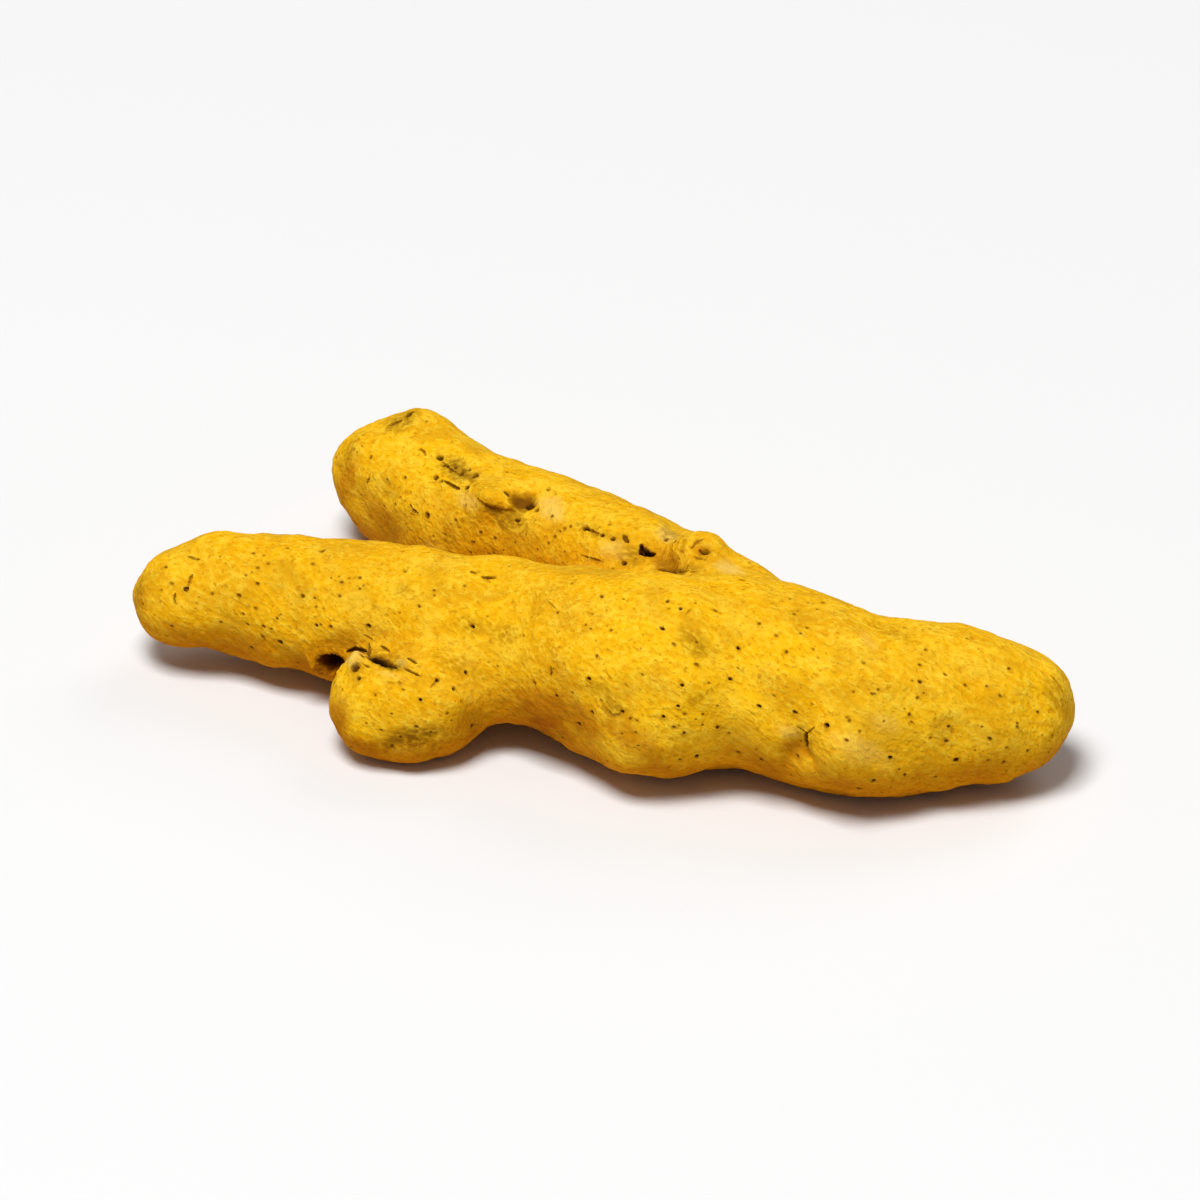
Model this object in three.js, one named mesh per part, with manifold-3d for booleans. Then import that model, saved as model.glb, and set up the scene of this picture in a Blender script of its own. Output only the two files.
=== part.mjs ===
import * as THREE from 'three';
import { mergeVertices } from 'three/addons/utils/BufferGeometryUtils.js';
import Module from 'manifold-3d';

// A dried turmeric rhizome, grown as one piece: a thick body with a blunt end, which forks into a main
// prong and a back prong, with a short round bud low on the main prong. It lies on a level surface at
// z = 0, with its length along X. All sizes are in millimetres.

// Each limb is a row of stations along its axis: x, y, height above the surface, radius.
const MAIN_LIMB = [
  [-30.7, -6.9, 5.1, 3.5],
  [-26.4, -5.7, 5.4, 4.3],
  [-22.1, -5.9, 5.6, 4.8],
  [-17.2, -6.3, 5.7, 5.1],
  [-11.2, -7.1, 6.0, 5.4],
  [-4.8, -7.4, 6.4, 5.5],
  [1.1, -9.2, 6.7, 6.5],
  [6.6, -9.8, 7.0, 7.0],
  [11.4, -8.3, 7.0, 6.6],
  [15.6, -8.7, 6.6, 6.7],
  [19.8, -9.3, 6.2, 6.2],
  [23.4, -7.7, 5.9, 6.1],
  [27.5, -6.4, 5.7, 5.3],
  [29.7, -5.5, 5.4, 4.5],
];
const BACK_PRONG = [
  [-20.3, 12.9, 4.8, 4.8],
  [-12.5, 8.4, 5.0, 5.1],
  [-6.0, 5.9, 5.4, 5.1],
  [1.8, 1.2, 6.0, 5.4],
  [8.8, -3.6, 6.4, 5.4],
];
const BUD = [
  [-13.5, -14.4, 3.7, 3.9],
  [-11.1, -13.8, 4.0, 4.2],
  [-8.3, -11.4, 4.9, 3.5],
  [-4.8, -9.4, 6.0, 4.3],
];
const SPHERES_BETWEEN_STATIONS = 12;

// How widely the skin rounds over where limbs meet.
const FORK_BLEND = 1.2;
const BUD_BLEND = 0.9;

// Local swellings and dents: where each sits, how far it reaches and how high it stands.
const SWELLINGS = [
  { name: 'knob on the back prong tip', at: [-18.7, 13.6, 9.3], reach: 2.4, height: 1.1 },
  { name: 'dip beside that knob', at: [-21.4, 13.2, 9.5], reach: 1.5, height: -0.45 },
  { name: 'shoulder of the back prong tip', at: [-24.6, 12.8, 6.9], reach: 2.2, height: 0.5 },
  { name: 'shoulder of the main prong tip', at: [-29.2, -4.4, 8.9], reach: 2.4, height: 0.45 },
  { name: 'eye on the back prong', at: [-11.6, 4.5, 9.9], reach: 1.4, height: 1.1 },
  { name: 'hollow beside that eye', at: [-8.7, 4.7, 9.7], reach: 1.4, height: -0.7 },
  { name: 'knob in the fork', at: [5.8, 0.1, 11.8], reach: 1.6, height: 1.2 },
  { name: 'notch beside that knob', at: [3.3, 1.2, 11.5], reach: 1.1, height: -0.4 },
  { name: 'bare facet in the fork', at: [3.7, -1.9, 11.2], reach: 1.1, height: -0.5 },
  { name: 'pit in the fork', at: [1.6, -0.8, 10.8], reach: 1.5, height: -1.4 },
  { name: 'cleft above the bud', at: [-13.9, -14.2, 7.2], reach: 1.2, height: -1.0 },
  { name: 'gap beside the bud', at: [-17.7, -11.6, 5.2], reach: 1.2, height: -0.6 },
  { name: 'lump low on the body', at: [5.4, -15.9, 4.2], reach: 3.2, height: 1.3 },
  { name: 'lump near the blunt end', at: [20.1, -15.4, 5.1], reach: 3.0, height: 0.6 },
  { name: 'notch above that lump', at: [17.3, -15.3, 7.3], reach: 1.5, height: -0.7 },
  { name: 'eye behind the body', at: [17.0, -2.6, 8.2], reach: 1.7, height: 0.8 },
  { name: 'eye behind the back prong', at: [-5.5, 10.6, 6.4], reach: 1.8, height: 0.9 },
];

// Slow unevenness of the whole skin: each wave is a product of two sines across space.
const UNEVENNESS = [
  { height: 0.16, first: [0.55, 0.8, 0], firstPhase: 0.3, second: [-0.35, 0, 0.7], secondPhase: 1.1 },
  { height: 0.11, first: [1.15, 0, -0.7], firstPhase: 2.0, second: [0, 1.05, 0.9], secondPhase: 0.4 },
];

// The skin is wrapped in cells of this size, inside a space that leaves room all round.
const CELL = 1.1;
const SPACE_LOW = new THREE.Vector3(-37.3, -21.3, -2.3);
const SPACE_HIGH = new THREE.Vector3(37.7, 21.7, 17.1);
const SLOPE_STEP = 0.05;
const PULL_PASSES = 2;

// The spheres that a limb's skin wraps, closely spaced along a smooth axis.
function limbSpheres(stations) {
  const axis = new THREE.CatmullRomCurve3(stations.map(([x, y, z]) => new THREE.Vector3(x, y, z)));
  const girth = new THREE.SplineCurve(stations.map(([, , , radius], i) => new THREE.Vector2(i, radius)));
  const count = (stations.length - 1) * SPHERES_BETWEEN_STATIONS;
  const spheres = [];
  for (let i = 0; i <= count; i += 1) {
    spheres.push({ centre: axis.getPoint(i / count), radius: girth.getPoint(i / count).y });
  }
  return spheres;
}

const mainSpheres = limbSpheres(MAIN_LIMB);
const backSpheres = limbSpheres(BACK_PRONG);
const budSpheres = limbSpheres(BUD);

function distanceTo(spheres, point) {
  let nearest = Infinity;
  for (const { centre, radius } of spheres) {
    nearest = Math.min(nearest, point.distanceTo(centre) - radius);
  }
  return nearest;
}

// The smaller of two distances, rounded over where they differ by less than the width.
function blended(a, b, width) {
  const overlap = Math.max(width - Math.abs(a - b), 0) / width;
  return Math.min(a, b) - (overlap ** 2 * width) / 4;
}

function unevennessAt({ x, y, z }) {
  let rise = 0;
  for (const { height, first, firstPhase, second, secondPhase } of UNEVENNESS) {
    const one = Math.sin(first[0] * x + first[1] * y + first[2] * z + firstPhase);
    const two = Math.sin(second[0] * x + second[1] * y + second[2] * z + secondPhase);
    rise += height * one * two;
  }
  return rise;
}

function swellingAt({ x, y, z }) {
  let rise = 0;
  for (const { at, reach, height } of SWELLINGS) {
    const away = (x - at[0]) ** 2 + (y - at[1]) ** 2 + (z - at[2]) ** 2;
    rise += height * Math.exp(-away / reach ** 2);
  }
  return rise;
}

// Distance from the skin, negative inside.
function skinDistance(point) {
  const prongs = blended(distanceTo(mainSpheres, point), distanceTo(backSpheres, point), FORK_BLEND);
  const limbs = blended(prongs, distanceTo(budSpheres, point), BUD_BLEND);
  return limbs - unevennessAt(point) - swellingAt(point);
}

function skinSlope(point) {
  const slope = new THREE.Vector3();
  for (const axis of ['x', 'y', 'z']) {
    const ahead = point.clone();
    const behind = point.clone();
    ahead[axis] += SLOPE_STEP;
    behind[axis] -= SLOPE_STEP;
    slope[axis] = (skinDistance(ahead) - skinDistance(behind)) / (2 * SLOPE_STEP);
  }
  return slope;
}

// A cell's twelve edges, each as its two corners in steps along x, y and z.
function cellEdges() {
  const edges = [];
  for (const [along, across, up] of [[0, 1, 2], [1, 2, 0], [2, 0, 1]]) {
    for (const [a, b] of [[0, 0], [1, 0], [0, 1], [1, 1]]) {
      const from = [0, 0, 0];
      from[across] = a;
      from[up] = b;
      const to = [...from];
      to[along] = 1;
      edges.push([from, to]);
    }
  }
  return edges;
}

// Wraps the skin in quads. Each cell that the skin crosses has one vertex, pulled onto the skin, and each
// cell edge that it crosses has one quad, between the four cells round that edge.
function wrapSkin() {
  const counts = SPACE_HIGH.clone().sub(SPACE_LOW).divideScalar(CELL).ceil().addScalar(1);
  const [nx, ny, nz] = counts.toArray();
  const strides = [1, nx, nx * ny];
  const slot = (i, j, k) => i * strides[0] + j * strides[1] + k * strides[2];
  const cornerAt = (i, j, k) => new THREE.Vector3(i, j, k).multiplyScalar(CELL).add(SPACE_LOW);
  const distances = new Float64Array(nx * ny * nz);
  for (let k = 0; k < nz; k += 1) {
    for (let j = 0; j < ny; j += 1) {
      for (let i = 0; i < nx; i += 1) {
        distances[slot(i, j, k)] = skinDistance(cornerAt(i, j, k));
      }
    }
  }

  const edges = cellEdges();
  const vertices = [];
  const vertexOfCell = new Map();
  for (let k = 0; k < nz - 1; k += 1) {
    for (let j = 0; j < ny - 1; j += 1) {
      for (let i = 0; i < nx - 1; i += 1) {
        const crossings = [];
        for (const [from, to] of edges) {
          const start = distances[slot(i + from[0], j + from[1], k + from[2])];
          const end = distances[slot(i + to[0], j + to[1], k + to[2])];
          if ((start < 0) !== (end < 0)) {
            const here = cornerAt(i + from[0], j + from[1], k + from[2]);
            const there = cornerAt(i + to[0], j + to[1], k + to[2]);
            crossings.push(here.lerp(there, start / (start - end)));
          }
        }
        if (crossings.length > 0) {
          const vertex = new THREE.Vector3();
          crossings.forEach((crossing) => vertex.add(crossing));
          vertex.divideScalar(crossings.length);
          for (let pass = 0; pass < PULL_PASSES; pass += 1) {
            const slope = skinSlope(vertex);
            vertex.addScaledVector(slope, -skinDistance(vertex) / slope.lengthSq());
          }
          vertexOfCell.set(slot(i, j, k), vertices.length);
          vertices.push(vertex);
        }
      }
    }
  }

  const triangles = [];
  for (let k = 1; k < nz - 1; k += 1) {
    for (let j = 1; j < ny - 1; j += 1) {
      for (let i = 1; i < nx - 1; i += 1) {
        const here = slot(i, j, k);
        for (let axis = 0; axis < 3; axis += 1) {
          const inside = distances[here] < 0;
          if (inside === distances[here + strides[axis]] < 0) {
            continue;
          }
          const across = strides[(axis + 1) % 3];
          const up = strides[(axis + 2) % 3];
          const ring = [0, across, across + up, up].map((back) => vertexOfCell.get(here - back));
          const [p, q, r, s] = inside ? ring : ring.reverse();
          if (vertices[p].distanceTo(vertices[r]) < vertices[q].distanceTo(vertices[s])) {
            triangles.push(p, q, r, p, r, s);
          } else {
            triangles.push(q, r, s, q, s, p);
          }
        }
      }
    }
  }
  const geometry = new THREE.BufferGeometry().setFromPoints(vertices);
  geometry.setIndex(triangles);
  return geometry;
}

const wasm = await Module();
wasm.setup();

function toSolid(geometry) {
  return new wasm.Manifold(new wasm.Mesh({
    numProp: 3,
    vertProperties: new Float32Array(geometry.attributes.position.array),
    triVerts: new Uint32Array(geometry.index.array),
  }));
}

// Everything below the surface that the rhizome lies on, as a block.
function spaceBelow() {
  const span = SPACE_HIGH.clone().sub(SPACE_LOW);
  const block = new THREE.BoxGeometry(span.x, span.y, span.z);
  block.translate(SPACE_LOW.x + span.x / 2, SPACE_LOW.y + span.y / 2, -span.z / 2);
  block.deleteAttribute('normal');
  block.deleteAttribute('uv');
  return mergeVertices(block);
}

// The lowest skin is cut off level, which leaves the small flat spots that the rhizome lies on.
const lying = toSolid(wrapSkin()).subtract(toSolid(spaceBelow())).getMesh();
const geometry = new THREE.BufferGeometry();
geometry.setAttribute('position', new THREE.BufferAttribute(lying.vertProperties, 3));
geometry.setIndex(new THREE.BufferAttribute(lying.triVerts, 1));

// The origin is the middle of the footprint, on that surface.
geometry.computeBoundingBox();
const centre = geometry.boundingBox.getCenter(new THREE.Vector3());
geometry.translate(-centre.x, -centre.y, 0);
geometry.computeVertexNormals();

const dustySkin = new THREE.MeshStandardMaterial({ color: 0xe0a01c, roughness: 0.9, metalness: 0 });
const rhizome = new THREE.Mesh(geometry, dustySkin);
rhizome.name = 'turmeric_rhizome';

const part = new THREE.Group();
part.add(rhizome);

export default part;
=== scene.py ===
import itertools
import math

import bmesh
import bpy
import numpy as np
from mathutils import Matrix, Vector
from mathutils.bvhtree import BVHTree
from mathutils.kdtree import KDTree


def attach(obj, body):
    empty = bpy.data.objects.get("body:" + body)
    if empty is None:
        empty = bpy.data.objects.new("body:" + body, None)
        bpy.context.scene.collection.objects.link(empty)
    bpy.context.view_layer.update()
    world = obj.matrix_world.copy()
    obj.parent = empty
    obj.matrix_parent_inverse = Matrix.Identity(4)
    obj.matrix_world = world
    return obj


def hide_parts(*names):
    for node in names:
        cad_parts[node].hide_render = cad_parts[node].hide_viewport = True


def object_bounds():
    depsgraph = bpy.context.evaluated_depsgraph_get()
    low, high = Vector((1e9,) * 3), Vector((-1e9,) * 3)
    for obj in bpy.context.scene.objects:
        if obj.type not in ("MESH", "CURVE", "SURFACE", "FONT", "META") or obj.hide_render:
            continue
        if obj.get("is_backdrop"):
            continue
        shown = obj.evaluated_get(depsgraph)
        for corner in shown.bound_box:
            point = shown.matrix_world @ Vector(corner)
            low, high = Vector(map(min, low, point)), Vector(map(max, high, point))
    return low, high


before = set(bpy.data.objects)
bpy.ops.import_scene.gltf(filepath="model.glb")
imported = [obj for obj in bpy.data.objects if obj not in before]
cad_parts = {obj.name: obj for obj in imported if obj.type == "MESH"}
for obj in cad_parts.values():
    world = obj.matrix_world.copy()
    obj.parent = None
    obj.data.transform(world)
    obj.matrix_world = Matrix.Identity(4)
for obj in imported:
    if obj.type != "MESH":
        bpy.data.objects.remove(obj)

# A dried turmeric rhizome lying on a pale floor. The CAD solid gives its form. Here it gets a fine skin,
# with the pores, cracks, scars and knobs that the photograph shows, and a dusty golden material with shade
# painted into its crevices, hollows and low sides and a painted sheen on its end. The skin is worked in
# millimetres, and goes back to metres when it is done.

MM = 0.001
NODE = "turmeric_rhizome"
CAD_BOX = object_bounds()

# How the photograph sees the rhizome as it lies here: a little from the right and from above, at this
# scale. A pixel of the photograph, which is 1200 pixels wide, is a straight line of sight along DEPTH.
TURN = math.radians(16)
DROP = math.radians(32)
MM_PER_PIXEL = 0.145
ORIGIN_PIXEL = (665.4, 281.4)
RIGHT = np.array((math.cos(TURN), math.sin(TURN), 0))
UP = np.array((-math.sin(TURN) * math.sin(DROP), math.cos(TURN) * math.sin(DROP), math.cos(DROP)))
DEPTH = np.array((-math.sin(TURN) * math.cos(DROP), math.cos(TURN) * math.cos(DROP), -math.sin(DROP)))

# The skin's grain runs from upper left to lower right as the photograph sees it.
GRAIN_ANGLE = math.radians(-36)
GRAIN = RIGHT * math.cos(GRAIN_ANGLE) + UP * math.sin(GRAIN_ANGLE)

# The fine mesh: the size of its faces in millimetres, how often it is smoothed, and how many half widths
# from a mark its faces are split, once and then again.
FACE_SIZE = 0.2
SMOOTHING_PASSES = 60
SPLIT_REACHES = (2.6, 1.5)

# Rays that feel round the skin start this far off it, in millimetres.
RAY_LIFT = 0.1

# Pores in view, read from the photograph, in its pixels.
BODY_PORES = [
    (654, 243), (686, 245), (722, 236), (745, 244), (761, 246), (684, 259), (689, 266), (700, 276),
    (720, 268), (743, 270), (738, 262), (750, 261), (753, 258), (730, 256), (649, 259), (659, 260),
    (652, 272), (648, 283), (650, 299), (643, 305), (674, 281), (693, 286), (706, 285), (716, 283),
    (691, 296), (684, 301), (694, 300), (710, 296), (730, 296), (710, 307), (689, 306), (694, 309),
    (700, 320), (720, 318), (731, 322), (747, 322), (748, 299), (763, 305), (720, 278), (703, 300),
    (640, 290), (633, 251), (616, 262), (592, 258), (588, 238), (573, 240), (559, 231), (541, 258),
    (528, 236), (640, 237), (566, 248), (604, 277), (622, 285), (668, 302), (672, 315), (709, 250),
]
BLUNT_END_PORES = [
    (773, 303), (778, 308), (772, 312), (793, 321), (785, 331), (779, 335), (800, 329), (815, 330),
    (820, 313), (821, 306), (806, 292), (787, 288), (784, 290), (775, 289), (780, 275), (807, 276),
    (819, 281), (829, 286), (846, 291), (864, 299), (854, 306), (859, 317), (849, 316), (841, 312),
    (848, 323), (840, 322), (871, 310), (802, 300), (810, 269), (830, 264), (800, 258), (809, 259),
    (850, 278),
]
MAIN_PRONG_PORES = [
    (485, 222), (490, 223), (487, 229), (487, 237), (465, 242), (478, 243), (514, 227), (523, 234),
    (537, 234), (527, 243), (515, 244), (509, 243), (497, 254), (490, 258), (494, 259), (498, 266),
    (484, 268), (518, 257), (523, 258), (482, 257), (469, 256), (480, 252), (486, 249), (442, 229),
    (445, 237), (431, 247), (445, 258), (492, 227),
]
BACK_PRONG_PORES = [
    (588, 199), (608, 182), (612, 183), (628, 191), (583, 206), (602, 215), (630, 204), (639, 209),
    (636, 210), (628, 217), (631, 214), (595, 212), (549, 186), (553, 198), (547, 199), (658, 208),
    (537, 164), (543, 161), (558, 185), (541, 175), (590, 222), (572, 214),
]
BUD_PORES = [
    (537, 283), (557, 285), (567, 293), (553, 300), (565, 306), (589, 280), (583, 288), (592, 306),
    (572, 309), (553, 316), (557, 312), (565, 316), (545, 291), (580, 300), (548, 308),
]
# Pits and the darkest pores in view: pixel, and radius in millimetres.
PITS = [
    ((692.2, 249.1), 0.11), ((824.5, 321.6), 0.16), ((807, 284.3), 0.12), ((574.8, 175), 0.22),
    ((577.6, 178.5), 0.2), ((585, 182), 0.19), ((592, 183.6), 0.24), ((573.2, 185.1), 0.18),
    ((588.5, 190), 0.18), ((613.2, 205.9), 0.18), ((608.1, 193.5), 0.18), ((619.2, 198.6), 0.26),
    ((582.2, 179.4), 0.13), ((589.4, 180.8), 0.13), ((580, 181.4), 0.11), ((576, 186.8), 0.12),
    ((622.5, 201), 0.16), ((646.6, 210.1), 0.2), ((654.5, 213.3), 0.16),
    ((659.7, 214.9), 0.17), ((665.5, 226.8), 0.18), ((685.6, 215.5), 0.18), ((690, 217), 0.14),
    ((704.5, 221.8), 0.24), ((535.8, 279), 0.3), ((569, 203.7), 0.18), ((537, 283), 0.14),
    ((497.9, 265.6), 0.16), ((690, 230.5), 0.26), ((676, 222), 0.26), ((683, 229), 0.22),
    ((700, 320), 0.14), ((763, 305), 0.15), ((793, 321), 0.14), ((747, 298.6), 0.13),
    ((730, 296), 0.11), ((716, 283), 0.12), ((693, 286), 0.12), ((691, 296), 0.11),
    ((684, 301), 0.12), ((720, 268), 0.11), ((686, 245.5), 0.11), ((654.5, 243.5), 0.12),
    ((722, 236), 0.12), ((710, 306.5), 0.12), ((650, 299), 0.13), ((648.4, 282.7), 0.13),
    ((643.4, 305), 0.13), ((761, 246), 0.12), ((785, 331), 0.12), ((778, 335), 0.12),
    ((567, 293), 0.13), ((588.7, 279.8), 0.13), ((592, 257.8), 0.13), ((632.3, 291.3), 0.11),
    ((592.4, 306), 0.13), ((541.6, 257.8), 0.14), ((516, 257.4), 0.12), ((664.2, 298.8), 0.13),
    ((575, 283.7), 0.13), ((683.3, 258.6), 0.12), ((541, 277.4), 0.12), ((533.4, 275.6), 0.11),
    ((538.6, 274.6), 0.12),
]

# Radii are in millimetres, depths in a mark's own radii. The stretch is along the grain.
PORE_RADII = (0.08, 0.13)
PORE_DEPTHS = (0.8, 1.3)
PORE_DARK = (0.5, 0.9)
PORE_STRETCHES = (1, 1.8)
PIT_DEPTH = 1.8
PIT_STRETCH = 1.3

# Cracks in view: pixels along each, half width and depth in millimetres, and how dark its floor is. The
# dark floors of the crevices above the bud and under the nub, the gap beside the bud, the hole in the
# fork, the crease behind the prong and the fork's floor, and the shade above the torn nub, are painted
# shade; in the other cracks the dark is the skin's own.
CRACKS = {
    "crevice above the bud": ([(541, 274.2), (545, 275.8), (550, 276.8), (555.5, 278.4)], 0.26, 0.95, 1.0),
    "shade above the torn nub": ([(531, 270.2), (535, 269), (539.5, 270), (541.8, 272.6)], 0.2, 0.36, 0.8),
    "gap beside the bud": ([(519.5, 274.4), (523.5, 275.8), (526.5, 276.6), (528, 274.6)], 0.72, 1.6, 0.9),
    "bite beside the torn nub": ([(525.4, 281.4), (526.6, 279.6), (528.2, 278)], 0.5, 0.55, 0.0),
    "crevice's thin end": ([(559, 278), (563, 279.8), (567, 281.6)], 0.12, 0.2, 0.77),
    "crevice's branch": ([(541.4, 266.6), (541.4, 269), (541.9, 273)], 0.2, 0.32, 0.77),
    "crack on the prong": ([(547.3, 267.2), (549.5, 268.3), (552, 270.4)], 0.12, 0.2, 0.77),
    "crack beside it": ([(560.6, 273.1), (562.5, 274), (565, 275.6)], 0.14, 0.24, 0.85),
    "thin double crack": ([(538.8, 261.8), (541, 263), (544.2, 265)], 0.08, 0.12, 0.51),
    "mark on the bud": ([(575, 283.4), (573.6, 285.4), (571.8, 287.2)], 0.09, 0.12, 0.4),
    "bud's flaked edge": ([(523.4, 286.6), (525, 285.8), (527, 283.8)], 0.14, 0.2, 0.68),
    "crack near the prong's tip": ([(454.8, 232.4), (454, 235), (453.2, 238)], 0.12, 0.18, 0.42),
    "that crack's pit": ([(453.2, 239), (451.4, 240.2)], 0.17, 0.24, 0.85),
    "that crack's tail": ([(447, 242), (446.3, 244.5), (447.2, 246.5)], 0.1, 0.16, 0.68),
    "mark near the prong's tip": ([(452.5, 223.4), (455, 224.4), (458.5, 224.9)], 0.12, 0.16, 0.59),
    "curved mark": ([(516.8, 221.4), (518.6, 221.6), (520.2, 220.4)], 0.1, 0.14, 0.68),
    "pair of marks": ([(591, 231.4), (593.5, 231.8)], 0.14, 0.18, 0.68),
    "pair's long mark": ([(596.5, 233.7), (599, 234.2), (602.6, 233.8)], 0.15, 0.22, 0.77),
    "upright mark": ([(630, 277), (630.2, 279.6), (629.8, 281.4)], 0.12, 0.18, 0.59),
    "slanting mark": ([(627.5, 244.8), (630.5, 247.6), (633.5, 250.6)], 0.09, 0.13, 0.42),
    "notch in the body": ([(752.6, 308.6), (752.2, 312), (752, 314.6), (751.4, 316.4)], 0.2, 0.42, 0.75),
    "notch's left branch": ([(748.6, 305.7), (750.8, 307.4), (752.6, 308.6)], 0.1, 0.14, 0.35),
    "notch's right branch": ([(757, 305.7), (755, 307.6), (752.8, 309.4)], 0.1, 0.14, 0.3),
    "curled scratch": ([(653.7, 293.2), (655.8, 297.4), (659.1, 300.8), (662.4, 300.6), (664.2, 298.4)],
                       0.2, 0.12, 0.3),
    "arc round the blunt end": ([(870.7, 281.6), (873.6, 284.9), (876.5, 289.5), (877.8, 295)],
                                0.14, 0.16, 0.42),
    "tip eye's long stroke": ([(548.6, 158.9), (552.5, 158), (556, 157.3)], 0.22, 0.35, 0.7),
    "tip eye's dark end": ([(559, 155.6), (561, 154.3), (562.3, 153.6)], 0.24, 0.35, 0.9),
    "mark below the tip": ([(565.5, 171.2), (567, 172.2), (567.9, 174)], 0.14, 0.2, 0.51),
    "long pit": ([(577.4, 186.8), (581, 188.8), (584.6, 190.6)], 0.15, 0.24, 0.8),
    "upper long pit": ([(576.2, 177), (579, 179.4), (582.6, 181.6)], 0.14, 0.2, 0.7),
    "smile": ([(560.6, 198.6), (562, 201), (564.6, 202.6)], 0.13, 0.19, 0.77),
    "crevice under the nub": ([(593.9, 196), (596, 198.4), (599.4, 200.4), (604, 201.8), (612.4, 202)],
                              0.26, 0.16, 0.45),
    "row's first groove": ([(646, 209.9), (649.5, 211.2), (652.6, 212.6)], 0.14, 0.2, 0.68),
    "row's last groove": ([(664.8, 213), (666, 215), (667.2, 216.8)], 0.2, 0.28, 0.85),
    "hole in the fork": ([(673.6, 218.6), (674.6, 222), (676.6, 222.8), (679.4, 222)], 0.27, 0.8, 1.0),
    "crease behind the prong": ([(644.5, 223.2), (649, 224.8), (655, 226.4)], 0.1, 0.16, 0.5),
    "upper arc of the knob's bowl": ([(697.4, 220), (699.6, 217.6), (703.5, 217)], 0.11, 0.14, 0.5),
    "lower arc of the knob's bowl": ([(699, 223.6), (701.5, 225), (704.8, 225.4)], 0.11, 0.14, 0.5),
    "fork's dark floor": ([(682, 229.2), (687, 230.2), (692, 231), (696, 231)], 0.17, 0.35, 0.9),
    "mark by the knob": ([(695.8, 227.4), (695, 230)], 0.12, 0.2, 0.68),
    "lower mark by the knob": ([(697, 231.4), (699.4, 231.2), (701, 230.8)], 0.13, 0.2, 0.59),
    "knob's pit": ([(701.8, 220), (703.6, 222), (706, 223)], 0.16, 0.3, 0.8),
    "stroke on the tip's side": ([(540.2, 184.6), (538.6, 187.8)], 0.12, 0.16, 0.51),
    "mark on the flank": ([(697.4, 249.4), (694.4, 252)], 0.08, 0.1, 0.34),
    "mark low on the flank": ([(488.8, 262.4), (490.4, 264.6)], 0.12, 0.16, 0.51),
}
# How far apart the points along a crack are, in pixels.
CRACK_STEP = 0.6

# Raised and sunken forms in view: pixel, slant on screen in degrees, half length and half width in pixels,
# and height in millimetres.
SWELLS = {
    "eye nub": ((602, 196), -31, 9, 3.8, 0.42),
    "eye nub's end": ((609, 199.6), -10, 3.4, 2.6, 0.2),
    "hollow beside the nub": ((616, 195.8), 20, 5.8, 5.0, -0.65),
    "hollow of the pits": ((582, 181), -35, 10, 4.5, -0.25),
    "ridge above the pits": ((588, 175), -38, 9, 3.5, 0.18),
    "ridge between the rows of pits": ((581, 184.6), -33, 8, 1.8, 0.14),
    "tip knob": ((562, 154), 10, 9, 4, 0.3),
    "dip before the tip knob": ((545, 160), 15, 5, 3.5, -0.3),
    "fork knob": ((706, 219), -20, 9, 7, 0.55),
    "knob's bowl": ((702.5, 220.6), -25, 5, 3.2, -0.6),
    "facet in the fork": ((686, 226), -40, 6.5, 4.5, -0.55),
    "dip left of the knob": ((689, 209), -30, 5, 3, -0.3),
    "lip below the row": ((656, 220), -14, 12, 3.5, 0.25),
    "dent on the shoulder": ((700, 269), -10, 11, 6, -0.28),
    "dent by the long mark": ((612, 262), -15, 13, 7, -0.16),
    "bump left of the notch": ((741, 309), 20, 8, 6, 0.25),
    "bump right of the notch": ((770, 314), -40, 15, 9, 0.6),
    "crease at the bump's edge": ((754, 323), -62, 8, 2.4, -0.35),
    "dent below the notch": ((746, 318), 60, 9, 4.5, -0.6),
    "bump low on the end": ((779, 330), 10, 9, 5, 0.2),
    "ridge above the end's bump": ((789, 304), -40, 8, 3, 0.16),
    "dimple in the end": ((826, 310), -40, 8, 6, -0.16),
    "dimple near the arc": ((866, 292), -60, 7, 5, -0.16),
    "rim of the curled scratch": ((654, 299), -60, 6, 2, 0.3),
    "torn nub": ((535.4, 275.4), 70, 3.8, 3.6, 0.5),
    "torn nub's crown": ((537.4, 273.6), 10, 2.4, 1.6, 0.2),
    "spike on the prong's edge": ((515, 276), -57, 6.2, 1.5, 0.5),
    "plate above the crevice": ((547.5, 272), -25, 5, 2.2, 0.32),
    "bud's upper lip": ((552, 283), -18, 9, 2, 0.18),
    "pale flap": ((557.5, 275.6), -20, 2.6, 1.5, 0.3),
    "dent on the bud": ((562, 312.5), 8, 15, 4.5, -0.3),
    "dent near the prong's tip": ((456, 231), 75, 8, 3, -0.16),
    "pale ridge on the prong": ((547, 247), -35, 9, 2.4, 0.1),
    "wrinkled edge": ((506, 264), -60, 5, 1.4, 0.12),
    "second wrinkle": ((500, 261), -65, 5, 1.3, 0.1),
}

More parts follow.
